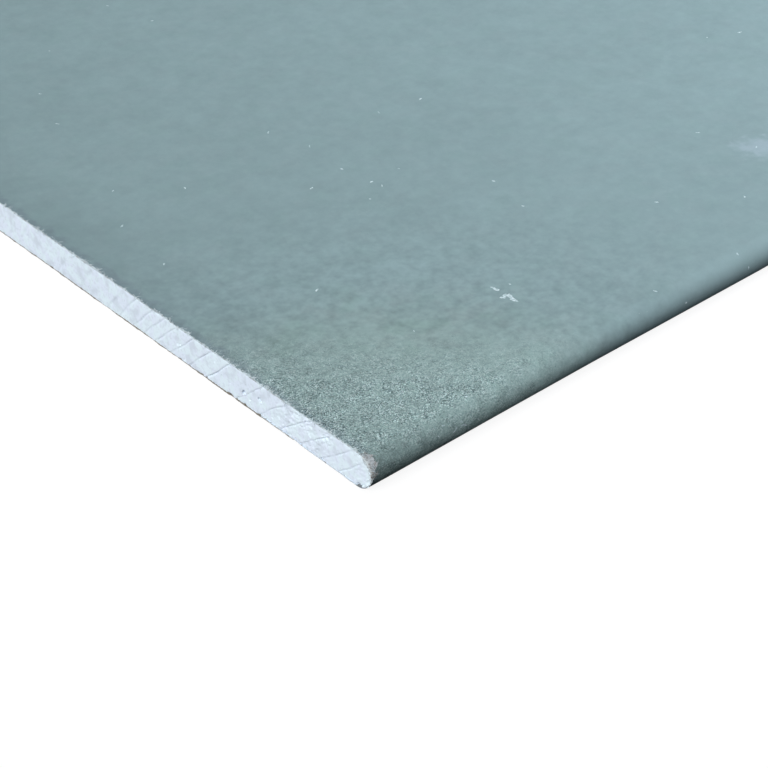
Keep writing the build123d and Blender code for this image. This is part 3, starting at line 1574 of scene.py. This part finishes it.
@dataclass
class FaceLiner(PaperLiner):
    """The green face liner, from one folded margin over the face to the other.

    Attributes:
        fine_step: How far the points of the near torn edge are apart, where the camera is close.
        coarse_step: How far those of the far one and of the rest are apart.
        wrap_step: The most that they are apart on a wrap.
        margin_step: How far they are apart on a folded margin.
        middle_step: How far they are apart away from the cut ends.
        fine_reach: How far in from the front long edge the fine points go.
        frayed_turn: From which to which angle round the wrap the green ply is frayed away.
        frayed_near: How wide it is frayed away at the near front corner.
        frayed_far: How wide at the far front corner.
        frayed_back: How wide at the back corners.
    """

    fine_step: float = 0.3
    coarse_step: float = 1.5
    wrap_step: float = 0.6
    margin_step: float = 3.0
    middle_step: float = 50.0
    fine_reach: float = 196.0
    frayed_turn: tuple[float, float] = (0.38, 1.60)
    frayed_near: float = 2.6
    frayed_far: float = 1.6
    frayed_back: float = 1.3

    @property
    def thickness(self) -> float:
        """Thickness of the paper."""
        return self.form.face_paper

    def place(self, out: np.ndarray, x: np.ndarray, depth: np.ndarray) -> tuple[np.ndarray, np.ndarray]:
        """Finds the Y and Z of a place in the liner.

        Args:
            out: How far from the middle of the face it is, measured along the outside.
            x: Where along the sheet it is.
            depth: How far under the liner's outer surface it is.

        Returns:
            Its Y and Z.
        """
        return self.form.wrap_place(out, x, depth)

    def spread(self, end: CutEnd | None) -> np.ndarray:
        """Lays points out across the liner.

        Args:
            end: The cut end that they are at, or None away from both.

        Returns:
            How far from the middle of the face they are, measured along the outside.
        """
        form = self.form
        face, wrap, whole = form.flat_half, form.flat_half + form.wrap_length, form.liner_half
        if end is None:
            flat = np.arange(0, face, self.middle_step)
            side = np.concatenate([flat, np.linspace(face, wrap, 25), np.linspace(wrap, whole, 4)[1:]])
            return np.concatenate([-side[:0:-1], side])
        step = self.fine_step if end is CutEnd.NEAR else self.coarse_step
        fine_end = -form.half_width + self.fine_reach
        front = [np.arange(-whole, -wrap, 2 * step), np.arange(-wrap, -face, min(step, self.wrap_step))]
        front += [np.arange(-face, fine_end, step), np.arange(fine_end, face, self.coarse_step)]
        back = [np.arange(face, wrap, self.wrap_step), np.arange(wrap, whole, self.margin_step)]
        return np.concatenate([*front, *back, [whole]])

    def tear(self, out: np.ndarray, end: CutEnd) -> np.ndarray:
        """Says how much further back the green ply ends than the inner one.

        Args:
            out: How far from the middle of the face it is read, measured along the outside.
            end: Which cut end.

        Returns:
            The distances.
        """
        rough = Unevenness(self.seed + 20 + end.value)
        torn = 0.24 + 0.28 * rough(out, 0.0, 4.5) + 0.22 * rough(out, 5.0, 1.0) + 0.16 * rough(out, 8.0, 0.5)
        turn = (np.abs(out) - self.form.flat_half) / self.form.wrap_radius
        low, high = self.frayed_turn
        frayed = smooth_step(turn, low - 0.25, low + 0.15) * smooth_step(turn, high + 0.3, high - 0.2)
        front = self.frayed_near if end is CutEnd.NEAR else self.frayed_far
        most = np.where(out < 0, front, self.frayed_back)
        torn = torn + frayed * most * (0.8 + 0.35 * rough(out, 3.0, 1.6) + 0.2 * rough(out, 6.0, 0.6))
        under = smooth_step(turn, 1.9, 2.3)
        return np.clip(torn * (1 - under), 0.02, 4.0)

    def torn_place(self, out: float, share: float, end: CutEnd) -> tuple[float, float, float]:
        """Finds a place on the torn edge.

        Args:
            out: How far from the middle of the face it is, measured along the outside.
            share: How far it is from the green ply, with 0, to the cut, with 1.
            end: Which cut end.

        Returns:
            Its X, Y and Z.
        """
        here = np.array([out])
        inner = self.edge_line(here, end)
        inside = inner + self.tear(here, end) * (1 - share)
        depth = self.thickness * np.interp(share, (0, *self.torn_shares, 1), (0.1, *self.torn_depths, 1))
        x = end.value * (self.form.half_length - inside)
        y, z = self.place(here, x, depth)
        return float(x[0]), float(y[0]), float(z[0])

    def make(self, face: bpy.types.Material, torn: bpy.types.Material) -> bpy.types.Object:
        """Makes the liner.

        Args:
            face: The green paper.
            torn: The inner ply at its torn edges.

        Returns:
            The object.
        """
        piece = self.make_layer("green_face_liner", [face, torn], "face_paper")
        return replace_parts(piece, "face_paper")


@dataclass
class BackLiner(PaperLiner):
    """The grey-brown back liner, flat under the sheet."""

    fine_step: float = 0.4
    coarse_step: float = 2.5
    fine_reach: float = 196.0
    seed: int = 70

    @property
    def thickness(self) -> float:
        """Thickness of the paper."""
        return self.form.back_paper

    def place(self, out: np.ndarray, x: np.ndarray, depth: np.ndarray) -> tuple[np.ndarray, np.ndarray]:
        """Finds the Y and Z of a place in the liner.

        Args:
            out: The place's Y.
            x: Where along the sheet it is.
            depth: How far over the underside it is, with 0 for the outer surface.

        Returns:
            Its Y and Z.
        """
        out, x, depth = np.broadcast_arrays(out, x, depth)
        return out, np.where(depth <= self.form.skin, 0.0, depth)

    def spread(self, end: CutEnd | None) -> np.ndarray:
        """Lays points out across the liner.

        Args:
            end: The cut end that they are at, or None away from both.

        Returns:
            Their Y.
        """
        half = self.form.back_half_width
        if end is None:
            return np.linspace(-half, half, 24)
        step = self.fine_step if end is CutEnd.NEAR else self.coarse_step
        fine_end = -self.form.half_width + self.fine_reach
        fine, coarse = np.arange(-half, fine_end, step), np.arange(fine_end, half, self.coarse_step)
        return np.concatenate([fine, coarse, [half]])

    def tear(self, out: np.ndarray, end: CutEnd) -> np.ndarray:
        """Says how much further back the underside ends than the glued side.

        Args:
            out: The Y where it is read.
            end: Which cut end.

        Returns:
            The distances.
        """
        rough = Unevenness(self.seed + 20 + end.value)
        return np.clip(0.1 + 0.2 * rough(out, 0.0, 3.0) + 0.15 * rough(out, 4.0, 0.9), 0.02, 0.8)

    def make(self, back: bpy.types.Material, torn: bpy.types.Material) -> bpy.types.Object:
        """Makes the liner.

        Args:
            back: The grey-brown paper.
            torn: What its torn edges show.

        Returns:
            The object.
        """
        piece = self.make_layer("grey_back_liner", [back, torn], "back_paper")
        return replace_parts(piece, "back_paper")


@dataclass
class LooseFibres:
    """The fibres that stand out of the face liner's torn edges, in tufts.

    Attributes:
        liner: The liner that they are torn out of.
        near_fibres: How many are tried along the near cut, where the camera is close.
        near_reach: How far in from the front long edge those go.
        other_fibres: How many are tried along the whole of each cut.
        wrap_fibres: How many there are on the wraps at each cut end.
        star_turn: How far round the front wrap the star of fibres is, in radians.
        star_fibres: How many fibres it has.
        tuft_gap: How far the flattened tufts are apart.
        ribbon_height: How high a flattened fibre is.
        widths: The least and the greatest width of a fibre.
        lengths: The least and the greatest length of one.
        seed: The seed of everything that is drawn.
    """

    liner: FaceLiner
    near_fibres: int = 900
    near_reach: float = 200.0
    other_fibres: int = 900
    wrap_fibres: int = 260
    star_turn: float = 1.50
    star_fibres: int = 36
    tuft_gap: float = 5.0
    ribbon_height: float = 0.05
    widths: tuple[float, float] = (0.07, 0.15)
    lengths: tuple[float, float] = (0.35, 1.7)
    seed: int = 90

    def roots(self, rng: np.random.Generator, end: CutEnd) -> np.ndarray:
        """Spreads the fibres along one torn edge, in tufts on the face and closer on the wraps.

        Args:
            rng: What draws them.
            end: Which cut end.

        Returns:
            Where across the liner each of them starts.
        """
        form = self.liner.form
        face, wrap = form.flat_half, form.wrap_radius
        rough = Unevenness(self.seed + end.value)
        seen = -form.half_width + self.near_reach if end is CutEnd.NEAR else form.half_width
        front = rng.uniform(-face, min(seen, face), self.near_fibres if end is CutEnd.NEAR else 0)
        rest = rng.uniform(-face, face, self.other_fibres)
        along = np.concatenate([front, rest])
        thick = rough(along, 0.0, 3.0) + 0.5 * rough(along, 5.0, 14.0)
        along = along[thick > rng.uniform(-0.5, 0.9, along.size)]
        turns = rng.uniform(0.15, 1.75, self.wrap_fibres)
        sides = rng.choice((-1, 1), self.wrap_fibres, p=(0.65, 0.35))
        star = -face - wrap * rng.normal(self.star_turn, 0.08, self.star_fibres)
        return np.concatenate([along, sides * (face + turns * wrap), star])

    def make(self, finishes: Sequence[bpy.types.Material]) -> bpy.types.Object:
        """Makes the fibres.

        Args:
            finishes: The materials that they have, in turn.

        Returns:
            The object.
        """
        draft = MeshDraft()
        for end in CutEnd:
            rng = np.random.default_rng(self.seed + 5 + end.value)
            for out in self.roots(rng, end):
                self.add_fibre(draft, out, end, rng, len(finishes))
            self.add_tufts(draft, end, rng)
        return draft.make("loose_paper_fibres", finishes, "face_paper")

    def add_fibre(
        self, draft: MeshDraft, out: float, end: CutEnd, rng: np.random.Generator, kinds: int
    ) -> None:
        """Adds one curled fibre that stands out of a torn edge.

        Args:
            draft: What it is added to.
            out: Where across the liner it starts.
            end: Which cut end.
            rng: What draws it.
            kinds: How many finishes there are. The last one is only for the wraps.
        """
        form = self.liner.form
        root = self.liner.torn_place(out, rng.uniform(0, 1), end)
        turn = np.clip((abs(out) - form.flat_half) / form.wrap_radius, 0, math.pi)
        away = np.array([0, math.copysign(math.sin(turn), out), math.cos(turn)])
        lengthways, sideways, upwards = rng.normal(-0.1, 0.6), rng.normal(0, 0.8), rng.normal(0, 0.3)
        heading = np.array([end.value * lengthways, sideways, upwards])
        heading += away * rng.uniform(0.0, 0.35)
        heading /= np.linalg.norm(heading)
        curl = np.cross(heading, rng.normal(0, 1, 3)) * rng.uniform(0.5, 1.8)
        length = rng.uniform(*self.lengths) * (1 if turn == 0 else 0.75)
        t = np.linspace(0, 1, 5)[:, None]
        path = np.array(root) + length * (heading * t + curl * t**2 / 2)
        width = rng.uniform(*self.widths)
        path = self.kept_inside(path, width, width)
        taper = width * np.array([0.7, 1.0, 1.0, 0.8, 0.3])
        draft.add_rod(path, taper, 0.8, int(rng.integers(kinds if turn > 0 else kinds - 1)))

    def add_tufts(self, draft: MeshDraft, end: CutEnd, rng: np.random.Generator) -> None:
        """Adds tufts of flattened fibres that lie on the face beside one cut end.

        Args:
            draft: What they are added to.
            end: Which cut end.
            rng: What draws them.
        """
        form = self.liner.form
        middles = np.arange(-form.flat_half + 2, form.flat_half - 2, self.tuft_gap)
        middles = middles + rng.uniform(-0.5, 0.5, len(middles)) * self.tuft_gap
        for middle in middles:
            spread = rng.uniform(0.3, 1.2)
            for _ in range(int(rng.integers(1, 9))):
                out = middle + rng.normal(0, spread)
                x, y, _z = self.liner.torn_place(out, rng.uniform(-0.2, 0.5), end)
                angle = rng.normal(0, 0.8)
                length = rng.uniform(0.4, 1.5)
                t = np.linspace(0, 1, 5)
                bend = rng.normal(0, 0.5)
                across = y + length * (math.sin(angle) * t + bend * t**2 / 2)
                along = x - end.value * length * math.cos(angle) * t
                height = np.full(5, form.thickness - form.skin - 0.01)
                width = rng.uniform(0.12, 0.34)
                path = np.column_stack([along, across, height])
                path = self.kept_inside(path, width, self.ribbon_height)
                taper = width * np.array([0.8, 1.0, 0.9, 0.7, 0.25])
                draft.add_rod(path, taper, self.ribbon_height / width, 1)

    def kept_inside(self, path: np.ndarray, width: float, height: float) -> np.ndarray:
        """Bends a fibre so that it stays inside the sheet's outline.

        Args:
            path: The points of its middle line, in rows.
            width: Its width.
            height: Its height.

        Returns:
            The points, moved in where they were outside.
        """
        form = self.liner.form
        room = np.array([width, width, height]) / 2 + 0.01
        low = np.array([-form.half_length, -form.half_width, 0]) + room
        high = np.array([form.half_length, form.half_width, form.thickness]) - room
        return np.clip(path, low, high)


@dataclass
class GypsumCrumbs:
    """Crumbs of gypsum that hang in the torn paper at the corners and along the lower edge of the cut."""

    liner: FaceLiner
    corner_crumbs: int = 34
    edge_crumbs: int = 90
    sizes: tuple[float, float] = (0.05, 0.30)
    seed: int = 120

    def add_crumb(self, draft: MeshDraft, middle: np.ndarray, size: float, rng: np.random.Generator) -> None:
        """Adds one crumb, as an uneven many-sided lump.

        Args:
            draft: What it is added to.
            middle: Its middle.
            size: Its radius.
            rng: What makes it uneven.
        """
        ball = bmesh.new()
        bmesh.ops.create_icosphere(ball, subdivisions=1, radius=1)
        points = np.array([v.co[:] for v in ball.verts])
        faces = [[v.index for v in face.verts] for face in ball.faces]
        ball.free()
        stretch = rng.uniform(0.6, 1.3, 3) * size
        points = points * stretch * rng.uniform(0.65, 1.15, (len(points), 1)) + middle
        form = self.liner.form
        limit = np.array([form.half_length, form.half_width, form.thickness]) - 0.01
        points = np.clip(points, [-limit[0], -limit[1], 0.01], limit)
        numbers = draft.add_points(*points.T)
        draft.add_faces([[int(numbers[i]) for i in face] for face in faces])

    def make(self, finish: bpy.types.Material) -> bpy.types.Object:
        """Makes the crumbs.

        Args:
            finish: Their material.

        Returns:
            The object.
        """
        form = self.liner.form
        draft = MeshDraft()
        for end in CutEnd:
            rng = np.random.default_rng(self.seed + end.value)
            for edge in LongEdge:
                for _ in range(self.corner_crumbs):
                    turn = rng.uniform(0.5, 3.0)
                    out = edge.value * (form.flat_half + turn * form.wrap_radius)
                    place = np.array(self.liner.torn_place(out, rng.uniform(-0.1, 0.7), end))
                    low, high = self.sizes
                    self.add_crumb(draft, place, low + (high - low) * rng.uniform(0, 1) ** 2.5, rng)
            for _ in range(self.edge_crumbs):
                y = rng.uniform(-form.flat_half, form.flat_half)
                x = end.value * (form.half_length - rng.uniform(0.45, 0.6))
                place = np.array([x, y, rng.choice((0.85, form.thickness - 0.5)) + rng.normal(0, 0.15)])
                self.add_crumb(draft, place, rng.uniform(*self.sizes) * 0.7, rng)
        return draft.make("loose_gypsum_crumbs", [finish], "gypsum")


@dataclass
class FaceScuffs:
    """Places where the face paper was scuffed and its pale fibres stand up.

    A scuff is a path of points in from the near end and from the front long edge, with its width. The
    second is measured along the paper, so below the wrap's start it goes on round the wrap.
    """

    form: SheetForm
    drawn: tuple[tuple[float, tuple[tuple[float, float], ...]], ...] = (
        (2.3, ((85.2, 35.6), (86.6, 35.1), (88.2, 35.8), (88.7, 34.6), (88.0, 32.9), (88.2, 30.2))),
        (1.9, ((87.5, 42.0), (88.2, 38.8))),
        (0.8, ((93.0, 39.6), (93.4, 38.7))),
        (1.0, ((164.6, 42.9), (165.8, 41.9))),
        (1.0, ((133.8, 89.4), (134.5, 88.4))),
        (0.7, ((32.0, -3.3), (33.2, -2.8), (33.6, -1.9))),
        (0.6, ((35.0, -2.4), (36.4, -2.6), (37.6, -3.4))),
        (0.5, ((28.6, 0.5), (29.8, 0.3))),
        (0.5, ((41.9, -3.2), (42.6, -3.8))),
        (0.5, ((35.4, -0.9), (36.1, -1.6))),
        (0.5, ((26.0, -1.5), (26.7, -2.0))),
        (0.6, ((41.3, 4.9), (42.2, 4.5))),
    )
    spots: tuple[tuple[float, float], ...] = (
        (98.3, 166.4), (102.8, 149.0), (115.7, 116.6), (100.9, 129.6), (103.6, 111.7), (102.7, 116.1),
        (137.4, 151.5), (155.6, 149.0), (84.6, 126.4), (94.8, 107.8), (46.0, 221.4), (120.9, 266.3),
        (45.5, 77.0), (212.0, 65.0), (190.1, 25.0), (76.3, 271.4), (130.0, 70.3), (22.3, 149.1),
        (33.3, 169.6), (54.1, 244.6), (52.7, 155.0), (219.4, 44.5), (18.7, 121.2), (52.9, 39.9),
        (161.2, 3.4), (163.4, -2.6), (124.4, 5.8), (116.2, 0.8), (113.0, 1.4), (133.2, -2.9),
    )
    scattered: int = 700
    height: float = 0.03
    seed: int = 150

    def add_scuff(self, draft: MeshDraft, path: np.ndarray, width: float, rng: np.random.Generator) -> None:
        """Adds one scuff, as a low ribbon that is set into the face.

        Args:
            draft: What it is added to.
            path: Its points, in rows, as places on the sheet.
            width: Its greatest width.
            rng: What makes it uneven.
        """
        at = np.linspace(0, 1, len(path))
        t = np.linspace(0, 1, max(5, 2 * len(path)))
        middle = np.stack([np.interp(t, at, path[:, 0]), np.interp(t, at, path[:, 1])], 1)
        middle += rng.normal(0, 0.08 * width, middle.shape)
        x, out = middle.T
        y, z = self.form.wrap_place(out, x, np.full(len(t), self.form.skin + 0.005))
        turn = np.clip((np.abs(out) - self.form.flat_half) / self.form.wrap_radius, 0, math.pi)
        away = np.column_stack([np.full(len(t), 0.01), np.sign(out) * np.sin(turn), np.cos(turn)])
        widths = width * np.sqrt(np.clip(4 * (t + 0.04) * (1.04 - t), 0, 1)) * rng.uniform(0.55, 1.0, len(t))
        draft.add_rod(np.column_stack([x, y, z]), widths, self.height * 2 / width, 0, away)

    def make(self, finish: bpy.types.Material) -> bpy.types.Object:
        """Makes the scuffs: the listed ones, and others over the rest of the face.

        Args:
            finish: Their material.

        Returns:
            The object.
        """
        form = self.form
        rng = np.random.default_rng(self.seed)
        draft = MeshDraft()
        corner = np.array([-form.half_length, -form.half_width])
        for width, points in self.drawn:
            self.add_scuff(draft, corner + np.array(points), width, rng)
        placed = [corner + np.array(spot) for spot in self.spots]
        limit = np.array([form.half_length - 8, form.flat_half - 4])
        others = rng.uniform(-limit, limit, (self.scattered, 2))
        seen = corner + np.array([260, 280])
        placed += [spot for spot in others if spot[0] > seen[0] or spot[1] > seen[1]]
        for spot in placed:
            turn = rng.uniform(0, math.pi)
            reach = rng.uniform(0.3, 1.1) * np.array([math.cos(turn), math.sin(turn)])
            self.add_scuff(draft, np.array([spot - reach, spot, spot + reach]), rng.uniform(0.5, 1.1), rng)
        return draft.make("face_scuffs", [finish], "face_paper")


@dataclass
class Studio:
    """The plain pale floor and the soft lights. Its sizes are in metres."""

    floor_half: float = 40.0
    floor_drop: float = 0.00005
    floor_bounce: str = "#303030"
    floor_lit: str = "#F9F9F9"
    white: str = "#FFFFFF"
    fill: str = "#E7F3FF"
    sky_tint: tuple[float, float, float] = (0.94, 1.0, 1.10)

    def make_floor(self) -> None:
        """Makes the floor, white to the eye and dark to light that bounces, with the sheet's shadow."""
        mesh = bpy.data.meshes.new("studio_floor")
        h = self.floor_half
        mesh.from_pydata([(-h, -h, 0), (h, -h, 0), (h, h, 0), (-h, h, 0)], [], [(0, 1, 2, 3)])
        floor = bpy.data.objects.new("studio_floor", mesh)
        floor.location.z = -self.floor_drop
        bpy.context.scene.collection.objects.link(floor)
        material = bpy.data.materials.new("studio_floor")
        wiring = Wiring(material)
        bounce = wiring.add("BsdfDiffuse", {"Color": linear_colour(self.floor_bounce)})
        lit = wiring.add("BsdfDiffuse", {"Color": linear_colour(self.floor_lit)})
        glow = wiring.add("Emission", {"Color": linear_colour(self.white), "Strength": 1.05})
        shown = wiring.add("MixShader", (0.85, lit, glow))
        surface = wiring.add("MixShader", (self.seen_share(wiring), bounce, shown))
        wiring.add("OutputMaterial", {"Surface": surface})
        mesh.materials.append(material)

    def seen_share(self, wiring: Wiring) -> Node:
        """Tells the rays that see a surface from the ones that only carry its light.

        Args:
            wiring: Where the nodes are added.

        Returns:
            1 for camera, glossy and transmission rays, and otherwise 0.
        """
        rays = wiring.add("LightPath").outputs
        seen = wiring.add("Math", (rays["Is Camera Ray"], rays["Is Glossy Ray"]), operation="MAXIMUM")
        return wiring.add("Math", (seen, rays["Is Transmission Ray"]), operation="MAXIMUM")

    def make_world(self) -> None:
        """Makes the world: white to the eye, and a weak even light."""
        world = bpy.data.worlds.new("studio")
        bpy.context.scene.world = world
        wiring = Wiring(world)
        fill = wiring.add("Background", {"Color": linear_colour(self.fill), "Strength": 0.07})
        white = wiring.add("Background", {"Color": linear_colour(self.white), "Strength": 1.0})
        surface = wiring.add("MixShader", (self.seen_share(wiring), fill, white))
        wiring.add("OutputWorld", {"Surface": surface})

    def add_sun(
        self, name: str, towards: tuple[float, float, float], strength: float, softness: float
    ) -> None:
        """Adds a far, soft light.

        Args:
            name: Its name.
            towards: The direction from the sheet to the light.
            strength: Its strength.
            softness: The angle that it fills, in degrees.
        """
        lamp = bpy.data.lights.new(name, "SUN")
        lamp.energy = strength
        lamp.angle = math.radians(softness)
        light = bpy.data.objects.new(name, lamp)
        light.rotation_euler = Vector(towards).to_track_quat("Z", "Y").to_euler()
        light.visible_camera = False
        bpy.context.scene.collection.objects.link(light)

    def add_softbox(
        self, place: tuple[float, float, float], size: tuple[float, float], tilt: float, strength: float
    ) -> None:
        """Hangs a softbox over the front long edge.

        Args:
            place: Its middle, in metres.
            size: Its length and width, in metres.
            tilt: How far it is turned towards the back long edge from facing straight down, in degrees.
            strength: Its light in watts for each square metre.
        """
        lamp = bpy.data.lights.new("softbox", "AREA")
        lamp.shape = "RECTANGLE"
        lamp.size, lamp.size_y = size
        lamp.energy = strength * size[0] * size[1]
        lamp.color = self.sky_tint
        light = bpy.data.objects.new("softbox", lamp)
        light.location = place
        light.rotation_euler.x = math.radians(tilt)
        light.visible_camera = False
        bpy.context.scene.collection.objects.link(light)

    def make(self) -> None:
        """Makes the studio."""
        self.make_floor()
        self.make_world()
        self.add_sun("key_light", towards=(-0.832, -0.117, 0.542), strength=3.49, softness=40)
        self.add_sun("back_fill", towards=(0.78, 0.58, 0.12), strength=1.1, softness=40)
        self.add_softbox(place=(0.152, -0.698, 0.471), size=(2.28, 0.70), tilt=39.8, strength=5.52)


@dataclass(frozen=True)
class SheetCamera:
    """The camera, close over the corner of the sheet where the near end meets the front long edge."""

    lens: float = 95.03
    sensor: float = 36.0
    place: tuple[float, float, float] = (-1543.17, -935.17, 361.96)
    bearing: float = 48.334
    elevation: float = 35.906

    def make(self) -> None:
        """Makes the camera and gives it to the scene."""
        data = bpy.data.cameras.new("sheet_camera")
        data.lens = self.lens
        data.sensor_width = self.sensor
        data.clip_start = 0.01
        data.clip_end = 200.0
        camera = bpy.data.objects.new("sheet_camera", data)
        camera.location = Vector(self.place) * MM
        bearing, elevation = math.radians(self.bearing), math.radians(self.elevation)
        level = math.cos(elevation)
        ahead = Vector((level * math.cos(bearing), level * math.sin(bearing), -math.sin(elevation)))
        camera.rotation_euler = ahead.to_track_quat("-Z", "Y").to_euler()
        bpy.context.scene.collection.objects.link(camera)
        bpy.context.scene.camera = camera


def main() -> None:
    """Builds the sheet's pieces in order, then the studio and the camera."""
    logging.basicConfig(level=logging.INFO, format="%(name)s: %(message)s")
    form = SheetForm.from_frame()
    green = GreenFacePaper().make(form)
    torn = TornPly().make(form)
    torn_back = TornPly(
        name="torn_back_ply",
        dusty="#A39D94",
        bare="#7D756B",
        frayed="#7D756B",
        cream="#7D756B",
        floury="#8A8379",
        painted_low_shade="#8A8379",
        tan="#4B453D",
    ).make(form)
    grey = GreyBackPaper().make(form)
    pale = RaisedFibre(name="pale_paper_fibre", hue="#D3DEE2", shade="#B4C2C8").make(form)
    tan = RaisedFibre(name="tan_paper_fibre", hue="#9C958B", shade="#6F6A66").make(form)
    scuffed = RaisedFibre(name="scuffed_paper_fibre", hue="#D6E6EA", shade="#A9C0C4").make(form)
    gypsum = FoamedGypsum().make(form)
    GypsumCore(form).make(gypsum)
    face_liner = FaceLiner(form)
    face_liner.make(green, torn)
    BackLiner(form).make(grey, torn_back)
    LooseFibres(face_liner).make([torn, pale, tan])
    GypsumCrumbs(face_liner).make(gypsum)
    FaceScuffs(form).make(scuffed)
    Studio().make()
    SheetCamera().make()
    bpy.context.scene.view_settings.view_transform = "Standard"


if __name__ == "__main__":
    main()
